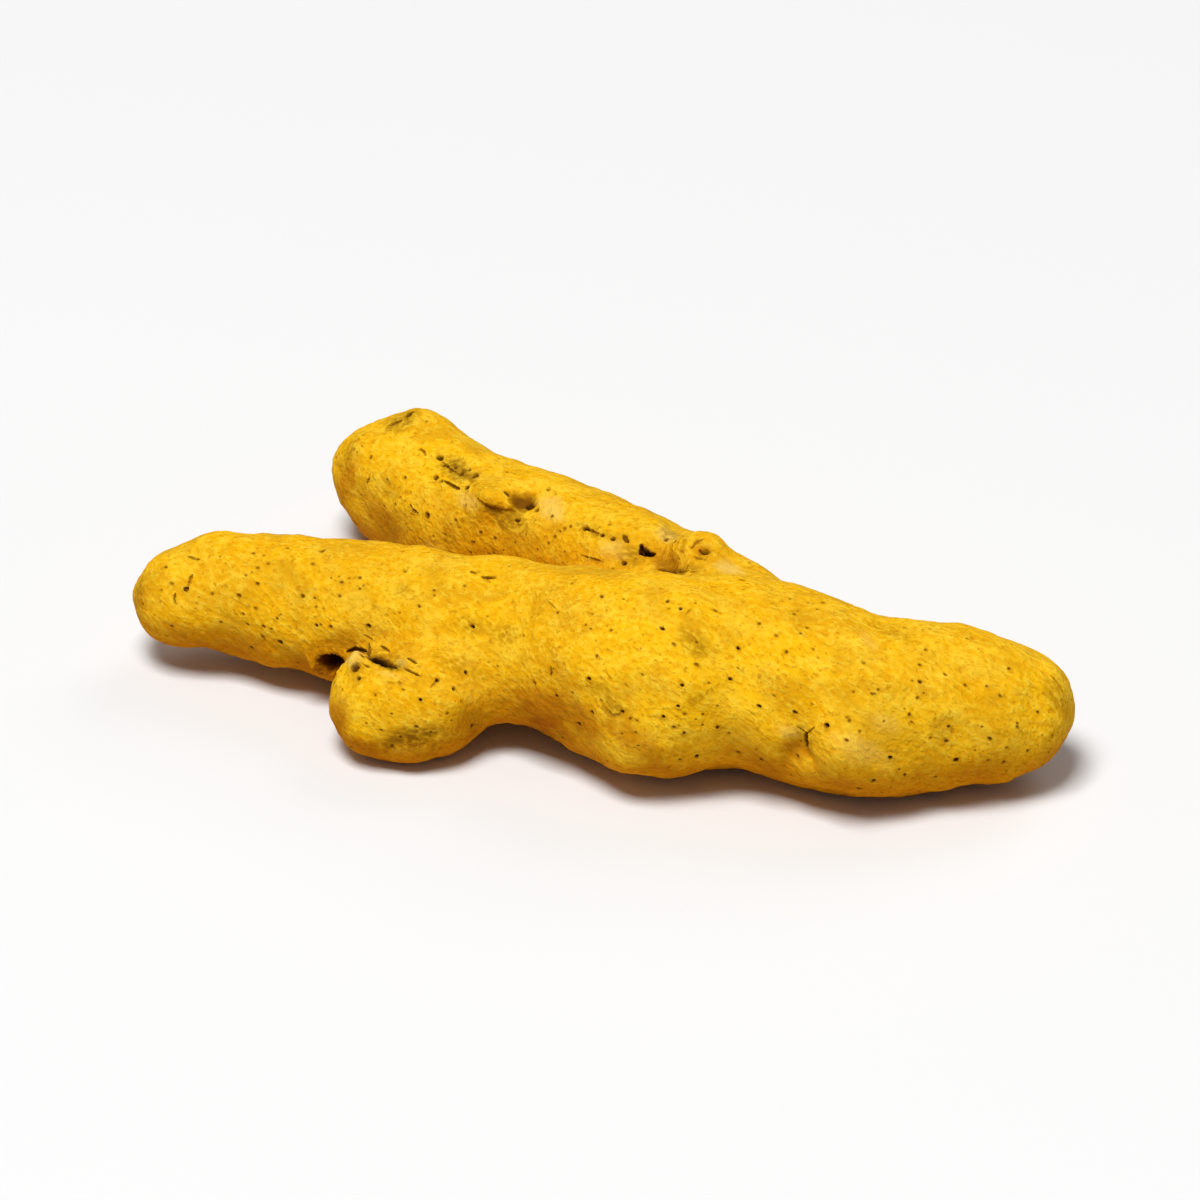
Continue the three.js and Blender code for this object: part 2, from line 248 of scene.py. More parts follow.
# Patches of colour in view: kind, pixel, slant, half length and half width as above, and strength.
PATCHES = {
    "stain round the pits": ("stain", (583, 181), -35, 12, 6, 0.8),
    "stain by the eye nub": ("stain", (610, 207), -15, 11, 6, 0.9),
    "stain at the tip eye": ("stain", (556, 158), 15, 11, 5, 0.7),
    "stain at the tip's edge": ("stain", (531, 171), 60, 9, 4, 0.6),
    "stain in the fork": ("stain", (668, 223), -20, 9, 6, 0.7),
    "stain on the shoulder": ("stain", (699, 266), -30, 10, 7, 0.6),
    "stain on the flank": ("stain", (590, 257), -20, 9, 5, 0.55),
    "stain beyond it": ("stain", (606, 261), 0, 9, 6, 0.45),
    "stain on the prong's side": ("stain", (558, 240), 20, 5, 4, 0.4),
    "stain by the notch": ("stain", (752, 311), -70, 8, 5, 0.55),
    "stain above the bud": ("stain", (552, 274), -20, 12, 5, 0.6),
    "stain on the body's middle": ("stain", (700, 292), -20, 8, 6, 0.35),
    "stain in the curled scratch": ("stain", (661, 298), 0, 7, 4, 0.6),
    # Painted shade in the dent below the notch.
    "shade in the dent below the notch": ("bare", (746, 319), 50, 9, 6, 0.75),
    # Painted shade in the crevice, the hole in the fork and the hollow, darkest at their bottoms, and
    # among the pits and under the nub's end.
    "shade in the crevice": ("pore", (549, 275.4), -18, 8, 2.2, 0.95),
    "depth of the crevice": ("void", (549, 276.6), -18, 7.5, 1.5, 1.0),
    "depth of the hole in the fork": ("void", (675.4, 221.4), -10, 3.4, 2.2, 0.7),
    "depth of the hollow": ("void", (619, 198.6), -20, 2.6, 1.8, 0.5),
    "shade among the pits": ("pore", (586, 181.5), -35, 10, 3.2, 0.45),
    "shade under the nub's end": ("pore", (612, 203), -20, 6, 2.6, 0.5),
    "stain round the row": ("stain", (652, 212), -20, 14, 3.6, 0.6),
    "stain beyond the curled scratch": ("stain", (655, 290), -30, 14, 5, 0.35),
    "pale ridge left of the notch": ("chalk", (745, 308.4), -20, 7, 3.4, 0.5),
    "pale top of the bump": ("chalk", (778, 316), -25, 16, 6, 0.4),
    # Painted shade in the gap by the bud, darkest at its bottom, in the arch, beyond it, low on the bulge,
    # below the long mark, between prong and bud, above the bud's crevice and on the main prong's tip.
    "depth of the gap": ("void", (525, 276), 5, 6, 3.4, 0.7),
    "shade in the arch": ("bare", (627, 298), -30, 20, 12, 1.0),
    "shade beyond the arch": ("bare", (645, 303), -40, 15, 8, 0.9),
    "shade low on the bulge": ("bare", (671, 313), -35, 20, 7, 0.7),
    "shade below the long mark": ("bare", (636, 283), -40, 18, 6, 0.4),
    "shade between prong and bud": ("stain", (584, 276), -25, 16, 6, 0.4),
    "shade above the bud's crevice": ("bare", (556, 266), -25, 16, 5, 0.3),
    "shade on the main prong's tip": ("bare", (429, 246), 70, 10, 5, 0.6),
    "shade low on the main prong's tip": ("bare", (452, 261), -20, 20, 5, 0.5),
    "brown right of the fork": ("stain", (797, 262), -25, 16, 4, 0.3),
    # Painted shade low on the end, on the bud's left and lower left, and in the knob's bowl.
    "shade low on the end": ("bare", (838, 326), 5, 22, 5, 0.35),
    "shade on the bud's left": ("bare", (526, 302), 80, 15, 7, 0.8),
    "shade on the bud's lower left": ("bare", (540, 317), -30, 12, 4, 0.4),
    "shade in the knob's bowl": ("bare", (702.5, 221), -25, 5, 3.6, 0.7),
    "stain at the blunt end": ("stain", (872, 290), -60, 10, 5, 0.45),
    "stain at the prong's tip": ("stain", (427, 243), 80, 10, 5, 0.55),
    "pale patch by the hollow": ("chalk", (630, 200), -35, 8, 6, 0.8),
    "pale patch in the fork": ("chalk", (686, 213), -20, 6, 4, 0.9),
    "pale patch by the knob": ("chalk", (716, 230), -15, 7, 4, 0.9),
    "pale patch below the row": ("chalk", (660, 220), -20, 8, 5, 0.6),
    "pale patch under the pits": ("chalk", (588, 196), -40, 7, 4, 0.55),
    "pale patch on the bud": ("chalk", (556, 318), 5, 12, 2, 0.3),
    "stained patch on the bud": ("stain", (562, 312.3), 8, 19, 6.5, 0.9),
    "pale flap's face": ("chalk", (557.5, 275.6), -20, 3.4, 2, 0.9),
    "lip of the crevice": ("chalk", (552, 281.5), -15, 8, 1.6, 0.5),
    "torn nub's face": ("chalk", (535, 273.6), 80, 5, 4, 1.0),
    "pale rim of the notch": ("chalk", (790, 304), -30, 9, 5, 0.25),
    # A painted sheen on the end.
    "painted sheen on the end": ("chalk", (782, 264), -45, 6, 3, 0.3),
    # Painted shade on the facet, in the hollow, in the gap by the bud, under the nub and the facet, and
    # left of the knob.
    "orange shade on the facet": ("bare", (684.5, 226), -45, 8.5, 6, 0.95),
    "orange shade in the hollow": ("bare", (615, 195), 0, 6, 5, 0.6),
    "orange shade in the gap by the bud": ("bare", (526, 276), 0, 6, 6, 0.9),
    "shade in the hollow": ("pore", (616, 196.6), 0, 6.4, 5.4, 0.9),
    "shade under the nub": ("stain", (603, 202), -20, 11, 3, 0.8),
    "shade under the facet": ("pore", (690, 230), -10, 6, 2.4, 0.7),
    "shade left of the knob": ("pore", (694.5, 218), 70, 6, 1.4, 0.35),
    "stain above the facet": ("stain", (687, 212.5), -20, 8, 4, 0.6),
    "stain below the knob": ("stain", (699, 230), -10, 6, 3, 0.6),
    "brown facet": ("stain", (684.5, 227), -45, 8, 5, 0.6),
    # Painted shade on the tip's side, low on the back prong and under the main prong.
    "shade on the tip's side": ("bare", (528, 186), 75, 15, 5, 0.7),
    "shade low on the back prong": ("bare", (545, 203), -50, 14, 5, 0.6),
    "shade under the main prong": ("bare", (480, 266), -12, 30, 5, 0.5),
}
# All that the skin is painted with, painted shade and a painted sheen among it. The last three come from
# its form: duller gold in the relief's hollows, and painted shade where the skin faces down and where it
# is closed in.
PAINTS = ("pore", "stain", "chalk", "bare", "void", "hollow", "under", "occlusion_shade")

# How closed in the skin is, for its painted shade, is measured at this many places, over this many
# directions, this far out in millimetres. Every other place takes the weighted mean of this many of them.
FELT_PLACES = 5000
FELT_DIRECTIONS = 60
FELT_REACH = 9.0
FELT_NEIGHBOURS = 4

# A pore, pit or crack, measured from its middle in its own half widths: how far out it changes the skin,
# where its low rim is highest, and how wide that rim is.
MARK_REACH = 3.2
RIM_MIDDLE = 1.6
RIM_WIDTH = 0.55
# The rim's height as a share of the mark's depth, how uneven the mark's edge is, and how strong the stain
# round it is.
RIM_HEIGHT = 0.13
EDGE_UNEVENNESS = 0.4
HALO_STRENGTH = 0.4

# The side out of view gets pores, pits, scars and patches at random, about as thickly as the side in
# view. Gaps, radii, half widths and steps are in millimetres, a scar's depth in its own half widths.
HIDDEN_SEED = 71
HIDDEN_PORES = 190
HIDDEN_PORE_GAP = 1.5
HIDDEN_PIT_EVERY = 9
HIDDEN_PIT_RADII = (0.18, 0.25)
HIDDEN_SCARS = 18
SCAR_STEP = 0.09
SCAR_STEPS = (8, 24)
SCAR_TURN = 0.06
SCAR_HALF_WIDTHS = (0.09, 0.18)
SCAR_DEPTH = 1.5
SCAR_DARK = (0.35, 0.75)
HIDDEN_PATCHES = 22
HIDDEN_PATCH_RADII = (0.8, 2.2)
HIDDEN_PATCH_STRENGTHS = (0.4, 0.8)

# Faint small pores all over the skin, also at random: radii in millimetres, and how dark they are.
FAINT_SEED = 23
FAINT_PORES = 330
FAINT_RADII = (0.06, 0.1)
FAINT_DARK = (0.4, 0.75)


def gradient_noise(places, seed):
    """Smooth noise, mostly between -1 and 1, at each row of places, on a lattice one unit wide."""
    table = 256
    gain = 1.6
    draw = np.random.default_rng(seed)
    slopes = draw.normal(size=(table, 3))
    slopes /= np.linalg.norm(slopes, axis=1, keepdims=True)
    order = draw.permutation(table)
    cell = np.floor(places).astype(int)
    inside = places - cell
    ease = inside ** 3 * (inside * (inside * 6 - 15) + 10)
    total = np.zeros(len(places))
    for corner in itertools.product((0, 1), repeat=3):
        x, y, z = ((cell + corner) % table).T
        slope = slopes[order[(order[(order[x] + y) % table] + z) % table]]
        pull = ((inside - corner) * slope).sum(axis=1)
        total += pull * np.where(corner, ease, 1 - ease).prod(axis=1)
    return total * gain


def streak_noise(points, length, width, seed):
    """The same noise, stretched along the grain."""
    along = points @ GRAIN
    stretched = points / width + np.outer(along, GRAIN) * (1 / length - 1 / width)
    return gradient_noise(stretched, seed)


def smooth_step(start, end, value):
    share = np.clip((value - start) / (end - start), 0, 1)
    return share * share * (3 - 2 * share)


def relaxed(values, edges, passes):
    """Each value drawn halfway to the mean of its neighbours, over and over."""
    ends = np.concatenate((edges[:, 0], edges[:, 1]))
    others = np.concatenate((edges[:, 1], edges[:, 0]))
    counts = np.bincount(ends, minlength=len(values))
    values = values.copy()
    for _ in range(passes):
        sums = [np.bincount(ends, part[others], len(values)) for part in values.T]
        values += (np.stack(sums, axis=1) / counts[:, None] - values) / 2
    return values


def column(collection, name, width):
    """One property of each item in a collection, a row each."""
    found = np.empty(len(collection) * width)
    collection.foreach_get(name, found)
    return found.reshape(-1, width)


def fine_mesh():
    """The CAD solid in small even faces, in millimetres, with its flat facets smoothed away.

    What the smoothing takes off is smoothed too and put back, so that the rhizome doesn't shrink.
    """
    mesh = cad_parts[NODE].data.copy()
    mesh.transform(Matrix.Scale(1 / MM, 4))
    coarse = bpy.data.objects.new("coarse", mesh)
    bpy.context.collection.objects.link(coarse)
    remesh = coarse.modifiers.new("even faces", "REMESH")
    remesh.mode = "VOXEL"
    remesh.voxel_size = FACE_SIZE
    fine = bpy.data.meshes.new_from_object(coarse.evaluated_get(bpy.context.evaluated_depsgraph_get()))
    bpy.data.objects.remove(coarse)
    points = column(fine.vertices, "co", 3)
    edges = np.empty(len(fine.edges) * 2, dtype=np.int32)
    fine.edges.foreach_get("vertices", edges)
    edges = edges.reshape(-1, 2)
    smooth = relaxed(points, edges, SMOOTHING_PASSES)
    fine.vertices.foreach_set("co", smooth.ravel())
    fine.update()
    facing = column(fine.vertices, "normal", 3)
    lost = ((points - smooth) * facing).sum(axis=1, keepdims=True)
    smooth += facing * relaxed(lost, edges, SMOOTHING_PASSES)
    fine.vertices.foreach_set("co", smooth.ravel())
    fine.update()
    return fine


def line_of_sight(pixel):
    """The point, well in front of the rhizome, where a pixel's line of sight starts."""
    across = (pixel[0] - ORIGIN_PIXEL[0]) * MM_PER_PIXEL
    down = (pixel[1] - ORIGIN_PIXEL[1]) * MM_PER_PIXEL
    far = 100
    return RIGHT * across - UP * down - DEPTH * far


def skin_at(rays, pixel):
    """The point of the skin that a pixel shows. One just past the outline takes the nearest skin."""
    start = line_of_sight(pixel)
    hit = rays.ray_cast(Vector(start), Vector(DEPTH))[0]
    if hit is None:
        hit = rays.find_nearest(Vector(at_middle_height(start)))[0]
    return np.array(hit)


def at_middle_height(start):
    """Where the line of sight from this start is halfway up the rhizome, in millimetres."""
    middle_height = 6.5
    return start + DEPTH * ((middle_height - start[2]) / DEPTH[2])


def seen(rays, point, facing):
    """Whether the photograph sees this point of the skin, and not at too glancing an angle."""
    glancing = 0.1
    if facing @ DEPTH > -glancing:
        return False
    return rays.ray_cast(Vector(point + facing * RAY_LIFT), Vector(-DEPTH))[0] is None


def between(pixels, step):
    """Pixels along the line through the given ones, about a step apart, and how far along each is."""
    pixels = np.array(pixels, dtype=float)
    lengths = np.linalg.norm(np.diff(pixels, axis=0), axis=1)
    travelled = np.concatenate(((0,), np.cumsum(lengths)))
    count = max(3, math.ceil(travelled[-1] / step) + 1)
    wanted = np.linspace(0, travelled[-1], count)
    x = np.interp(wanted, travelled, pixels[:, 0])
    y = np.interp(wanted, travelled, pixels[:, 1])
    return np.stack((x, y), axis=1), np.linspace(0, 1, count)


def occlusion_shade(rays, points, facing):
    """How much of each point's outlook the rest of the rhizome or the surface under it closes off."""
    turn = np.arange(FELT_DIRECTIONS) * math.pi * (3 - math.sqrt(5))
    height = 1 - (2 * np.arange(FELT_DIRECTIONS) + 1) / FELT_DIRECTIONS
    ring = np.sqrt(1 - height ** 2)
    directions = np.stack((ring * np.cos(turn), ring * np.sin(turn), height), axis=1)
    closed = np.zeros(len(points))
    for index, (point, normal) in enumerate(zip(points, facing)):
        weights = directions @ normal
        start = Vector(point + normal * RAY_LIFT)
        for direction, weight in zip(directions, weights):
            if weight < 0:
                continue
            reaches_surface = start.z + direction[2] * FELT_REACH < 0
            if reaches_surface or rays.ray_cast(start, Vector(direction), FELT_REACH)[0]:
                closed[index] += weight
        closed[index] /= weights[weights > 0].sum()
    return closed


class Mark:
    """A pore, pit or crack: points along its middle with their half widths, its depth and how dark it is.

    Its stretch is how much longer along the grain than across it each of its points is.
    """

    def __init__(self, points, half_widths, depth, dark, stretch=1.0):
        self.points = np.array(points)
        self.half_widths = np.array(half_widths)
        self.depth = depth
        self.dark = dark
        self.stretch = stretch


def pore_mark(point, draw):
    radius = draw.uniform(*PORE_RADII)
    depth = radius * draw.uniform(*PORE_DEPTHS)
    dark = draw.uniform(*PORE_DARK)
    return Mark([point], [radius], depth, dark, draw.uniform(*PORE_STRETCHES))


def pit_mark(point, radius):
    return Mark([point], [radius], radius * PIT_DEPTH, 1.0, PIT_STRETCH)


def seen_marks(rays, draw):
    marks = []
    for pixel in BODY_PORES + BLUNT_END_PORES + MAIN_PRONG_PORES + BACK_PRONG_PORES + BUD_PORES:
        marks.append(pore_mark(skin_at(rays, pixel), draw))
    for pixel, radius in PITS:
        marks.append(pit_mark(skin_at(rays, pixel), radius))
    for pixels, half_width, depth, dark in CRACKS.values():
        line, along = between(pixels, CRACK_STEP)
        points = [skin_at(rays, pixel) for pixel in line]
        marks.append(Mark(points, half_width * crack_taper(along, draw), depth, dark))
    return marks


def crack_taper(along, draw):
    """How wide a crack is along its length, as a share: narrow at its ends and uneven between them."""
    open_middle = np.sin(np.pi * np.clip(along, 0.04, 0.96)) ** 0.6
    return (0.3 + 0.7 * open_middle) * draw.uniform(0.55, 1.05, len(along))


def faint_marks(mesh):
    draw = np.random.default_rng(FAINT_SEED)
    points = column(mesh.vertices, "co", 3)
    marks = []
    for index in draw.choice(len(points), FAINT_PORES, replace=False):
        radius = draw.uniform(*FAINT_RADII)
        dark = draw.uniform(*FAINT_DARK)
        marks.append(Mark([points[index]], [radius], radius, dark, draw.uniform(*PORE_STRETCHES)))
    return marks


def hidden_points(rays, mesh, draw):
    """Random points of the skin that the photograph doesn't see, each with the way it faces."""
    points = column(mesh.vertices, "co", 3)
    facing = column(mesh.vertices, "normal", 3)
    for index in draw.permutation(len(points)):
        if not seen(rays, points[index], facing[index]):
            yield points[index], facing[index]


def hidden_marks(rays, mesh, draw):
    marks = []
    places = []
    hidden = hidden_points(rays, mesh, draw)
    while len(places) < HIDDEN_PORES:
        point, _ = next(hidden)
        if places and np.linalg.norm(np.array(places) - point, axis=1).min() < HIDDEN_PORE_GAP:
            continue
        places.append(point)
        if len(places) % HIDDEN_PIT_EVERY == 0:
            marks.append(pit_mark(point, draw.uniform(*HIDDEN_PIT_RADII)))
        else:
            marks.append(pore_mark(point, draw))
    for _ in range(HIDDEN_SCARS):
        marks.append(hidden_scar(rays, next(hidden), draw))
    return marks


def hidden_scar(rays, start, draw):
    """A short bent crack across the skin from a point."""
    point, facing = start
    heading = np.cross(facing, draw.normal(size=3))
    heading /= np.linalg.norm(heading)
    turn = draw.uniform(-SCAR_TURN, SCAR_TURN)
    points = [point]
    for _ in range(draw.integers(*SCAR_STEPS)):
        heading = heading + np.cross(facing, heading) * turn
        hit, normal, _, _ = rays.find_nearest(Vector(points[-1] + heading * SCAR_STEP))
        facing = np.array(normal)
        heading = heading - facing * (heading @ facing)
        heading /= np.linalg.norm(heading)
        points.append(np.array(hit))
    along = np.linspace(0, 1, len(points))
    half_width = draw.uniform(*SCAR_HALF_WIDTHS)
    half_widths = half_width * crack_taper(along, draw)
    return Mark(points, half_widths, half_width * SCAR_DEPTH, draw.uniform(*SCAR_DARK))


def refined(mesh, marks):
    """Splits the faces near the marks, twice over for the nearest ones, so that they are cut cleanly."""
    for reach in SPLIT_REACHES:
        points = column(mesh.vertices, "co", 3)
        tree = point_tree(points)
        near = np.zeros(len(points), dtype=bool)
        for mark in marks:
            for point, half_width in zip(mark.points, mark.half_widths):
                for _, index, _ in tree.find_range(point, half_width * reach + FACE_SIZE / 2):
                    near[index] = True
        work = bmesh.new()
        work.from_mesh(mesh)
        edges = [edge for edge in work.edges if near[edge.verts[0].index] and near[edge.verts[1].index]]
        bmesh.ops.subdivide_edges(work, edges=edges, cuts=1, use_grid_fill=True)
        work.to_mesh(mesh)
        work.free()
    return mesh


def point_tree(points):
    tree = KDTree(len(points))
    for index, point in enumerate(points):
        tree.insert(point, index)
    tree.balance()
    return tree


class Skin:
    """The skin's points and the way each faces, how far each is raised, and what it is painted with."""

    def __init__(self, mesh):
        self.mesh = mesh
        self.points = column(mesh.vertices, "co", 3)
        self.facing = column(mesh.vertices, "normal", 3)
        self.rise = np.zeros(len(self.points))
        self.paint = {kind: np.zeros(len(self.points)) for kind in PAINTS}
        self.tree = point_tree(self.points)
        self.rough = self.two_noises(0.42, 5, 0.2, 8)
        self.blotch = self.two_noises(0.9, 6, 0.4, 7)

    def two_noises(self, wide, wide_seed, narrow, narrow_seed):
        """Noise at two sizes of cell, the wide one a little stronger."""
        wide_noise = gradient_noise(self.points / wide, wide_seed)
        narrow_noise = gradient_noise(self.points / narrow, narrow_seed)
        return wide_noise * 0.6 + narrow_noise * 0.4

    def near(self, point, reach):
        found = self.tree.find_range(point, reach)
        return np.array([index for _, index, _ in found], dtype=int)

    def dig(self, mark):
        """Sinks a pore, pit or crack, with a low rim round it and dark in it: dark tissue in most, painted
        shade in the deep crevices and gaps.
        """
        away = {}
        for point, half_width in zip(mark.points, mark.half_widths):
            places = self.near(point, half_width * MARK_REACH)
            offset = self.points[places] - point
            shorter = (1 - 1 / mark.stretch ** 2) * (offset @ GRAIN) ** 2
            apart = np.sqrt(np.maximum((offset ** 2).sum(axis=1) - shorter, 0)) / half_width
            for place, value in zip(places.tolist(), apart.tolist()):
                away[place] = min(value, away.get(place, MARK_REACH))
        if not away:
            return
        places = np.array(list(away), dtype=int)
        apart = np.array(list(away.values())) + self.rough[places] * EDGE_UNEVENNESS
        rim = np.exp(-((apart - RIM_MIDDLE) / RIM_WIDTH) ** 2)
        self.rise[places] -= mark.depth * smooth_step(1.25, 0.2, apart)
        self.rise[places] += mark.depth * RIM_HEIGHT * rim
        dark_edge = 0.45 if len(mark.points) == 1 else 0.8
        # Dark tissue in most marks; painted shade in the deep crevices, gaps and the fork's floor.
        self.brush("pore", places, mark.dark * smooth_step(1.4, dark_edge, apart))
        self.brush("stain", places, HALO_STRENGTH * mark.dark * smooth_step(2.8, 0.9, apart))

    def brush(self, kind, places, strength):
        self.paint[kind][places] = np.maximum(self.paint[kind][places], strength)

    def oval(self, rays, pixel, slant, half_length, half_width):
        """The skin round a pixel, and how far into an oval drawn there on screen each point is."""
        middle = skin_at(rays, pixel)
        reach = 2.4 * max(half_length, half_width) * MM_PER_PIXEL
        places = self.near(middle, reach)
        turned = math.radians(slant)
        long_way = RIGHT * math.cos(turned) + UP * math.sin(turned)
        cross_way = UP * math.cos(turned) - RIGHT * math.sin(turned)
        offset = (self.points[places] - middle) / MM_PER_PIXEL
        apart = np.hypot(offset @ long_way / half_length, offset @ cross_way / half_width)
        towards = smooth_step(0, 0.3, -self.facing[places] @ DEPTH)
        return places, apart, towards

    def swell(self, rays, pixel, slant, half_length, half_width, height):
        places, apart, towards = self.oval(rays, pixel, slant, half_length, half_width)
        apart = apart + self.rough[places] * 0.15
        self.rise[places] += height * np.exp(-apart ** 2) * towards

    def cover(self, places, apart):
        """How fully a patch with an uneven edge covers each place."""
        return smooth_step(1.3, 0.3, apart + self.blotch[places] * 0.5)

    def patch(self, kind, rays, pixel, slant, half_length, half_width, strength):
        places, apart, towards = self.oval(rays, pixel, slant, half_length, half_width)
        self.brush(kind, places, strength * self.cover(places, apart) * towards)

    def hidden_patch(self, point, draw):
        kind = ("stain", "chalk")[draw.integers(2)]
        radius = draw.uniform(*HIDDEN_PATCH_RADII)
        places = self.near(point, radius * 1.5)
        apart = np.linalg.norm(self.points[places] - point, axis=1) / radius
        strength = draw.uniform(*HIDDEN_PATCH_STRENGTHS)
        self.brush(kind, places, strength * self.cover(places, apart))

    def weather(self):
        """Shallow leathery hollows, with fine wrinkles along the grain. The hollows are painted a duller
        gold, and the skin gets painted shade the more it faces down.

        Each line has a height and the size of its noise's cells, in millimetres, and then a seed.
        """
        usual_wrinkle = 0.3
        rise = 0.12 * gradient_noise(self.points / 4.2, 11)
        rise += 0.1 * streak_noise(self.points, 5.0, 2.2, 16)
        rise += 0.07 * gradient_noise(self.points / 2.0, 12)
        rise += 0.1 * (np.abs(streak_noise(self.points, 2.6, 1.1, 13)) - usual_wrinkle)
        rise += 0.05 * (np.abs(streak_noise(self.points, 1.2, 0.7, 15)) - usual_wrinkle)
        rise += 0.035 * streak_noise(self.points, 0.9, 0.5, 14)
        self.rise += rise
        self.paint["hollow"] = smooth_step(0.02, -0.22, rise)
        # Painted shade: darker the more the skin faces down.
        self.paint["under"] = smooth_step(0.4, -0.6, self.facing[:, 2])

    def paint_occlusion_shade(self, rays):
        """Finds how closed in the skin is, from places spread evenly over it, for the painted shade in its
        creases and low places.
        """
        places = np.arange(0, len(self.points), max(1, len(self.points) // FELT_PLACES))
        closed = occlusion_shade(rays, self.points[places], self.facing[places])
        tree = point_tree(self.points[places])
        for index, point in enumerate(self.points):
            near = tree.find_n(point, FELT_NEIGHBOURS)
            weights = [1 / (distance + FACE_SIZE) for _, _, distance in near]
            values = [closed[place] * weight for (_, place, _), weight in zip(near, weights)]
            self.paint["occlusion_shade"][index] = sum(values) / sum(weights)

    def finished(self, name):
        """The skin as an object in metres, kept inside the CAD box, with its paints as attributes."""
        points = self.points + self.facing * self.rise[:, None]
        low, high = (np.array(corner) / MM for corner in CAD_BOX)
        points = np.clip(points, low, high)
        self.mesh.vertices.foreach_set("co", (points * MM).ravel())
        for kind, strength in self.paint.items():
            layer = self.mesh.attributes.new(kind, "FLOAT", "POINT")
            layer.data.foreach_set("value", strength)
        self.mesh.polygons.foreach_set("use_smooth", [True] * len(self.mesh.polygons))
        self.mesh.update()
        skin = bpy.data.objects.new(name, self.mesh)
        bpy.context.collection.objects.link(skin)
        return skin


def make_rhizome():
    mesh = fine_mesh()
    draw = np.random.default_rng(HIDDEN_SEED)
    rays = BVHTree.FromPolygons(
        [vertex.co for vertex in mesh.vertices],
        [polygon.vertices for polygon in mesh.polygons],
    )
    marks = seen_marks(rays, draw) + hidden_marks(rays, mesh, draw) + faint_marks(mesh)
    blotches = list(itertools.islice(hidden_points(rays, mesh, draw), HIDDEN_PATCHES))
    skin = Skin(refined(mesh, marks))
    skin.weather()
    skin.paint_occlusion_shade(rays)
    for swell in SWELLS.values():
        skin.swell(rays, *swell)
    for kind, *oval in PATCHES.values():
        skin.patch(kind, rays, *oval)
    for point, _ in blotches:
        skin.hidden_patch(point, draw)
    for mark in marks:
        skin.dig(mark)
    return skin.finished("rhizome")


# The material. Its colours are what the photograph shows in full light, as red, green and blue up to 255,
# and this is the share of them that the skin itself gives back.
SURFACE_SHARE = 0.9
DEEP_GOLD = (226, 154, 4)
GOLD = (250, 190, 18)
PALE_GOLD = (255, 216, 62)
ORANGE = (186, 110, 3)
CHALK_AND_SHEEN = (246, 204, 96)
BROWN = (150, 84, 4)
DULL = (206, 148, 20)
STAIN = (150, 108, 16)
PORE_AND_SHADE = (108, 62, 8)
DEEP_SHADE = (34, 16, 3)
# What is left of each colour in the darkest painted shade: where the rest of the rhizome or the floor
# closes the skin in, and, more weakly, where the skin faces down.
PAINTED_SHADE_TINT = (0.74, 0.53, 0.06, 1)
# How deep the material's finest relief is, in metres.
BUMP_DEPTH = 0.19 * MM


def skin_colour(seen_colour):
    """A colour as the shader takes it: linear light, by the usual screen curve."""
    linear = [((value / 255 + 0.055) / 1.055) ** 2.4 for value in seen_colour]
    return (*[value * SURFACE_SHARE for value in linear], 1)


def add_node(tree, kind, inputs=None, **settings):
    """A node with these settings. An input that is given another node's output is linked to it."""
    node = tree.nodes.new(kind)
    for name, value in settings.items():
        setattr(node, name, value)
    for name, value in (inputs or {}).items():
        if isinstance(value, bpy.types.NodeSocket):
            tree.links.new(value, node.inputs[name])
        else:
            node.inputs[name].default_value = value
    return node


def grain_noise(tree, place, length, width, detail):
    """Noise in cells of this length along the grain and this width across it, in millimetres."""
    turned = Vector((1, 0, 0)).rotation_difference(Vector(GRAIN)).to_euler()
    inputs = {"Vector": place, "Rotation": turned, "Scale": (length * MM, width * MM, width * MM)}
    mapping = add_node(tree, "ShaderNodeMapping", inputs, vector_type="TEXTURE")
    inputs = {"Vector": mapping.outputs[0], "Scale": 1, "Detail": detail}
    inputs |= {"Roughness": 0.55, "Distortion": 0.35}
    return add_node(tree, "ShaderNodeTexNoise", inputs).outputs[0]


def ranged(tree, value, low, high, to_low=0.0, to_high=1.0):
    inputs = {"Value": value, "From Min": low, "From Max": high, "To Min": to_low, "To Max": to_high}
    return add_node(tree, "ShaderNodeMapRange", inputs, interpolation_type="SMOOTHSTEP").outputs[0]


def mixed(tree, share, first, second, blend="MIX"):
    """Two colours mixed. A mix node has its colours at inputs 6 and 7, and the result at output 2."""
    inputs = {0: share, 6: first, 7: second}
    return add_node(tree, "ShaderNodeMix", inputs, data_type="RGBA", blend_type=blend).outputs[2]


def product(tree, first, second):
    return add_node(tree, "ShaderNodeMath", {0: first, 1: second}, operation="MULTIPLY").outputs[0]


def total(tree, first, second):
    return add_node(tree, "ShaderNodeMath", {0: first, 1: second}, operation="ADD").outputs[0]


def painted(tree, kind):
    return add_node(tree, "ShaderNodeAttribute", attribute_name=kind).outputs["Fac"]


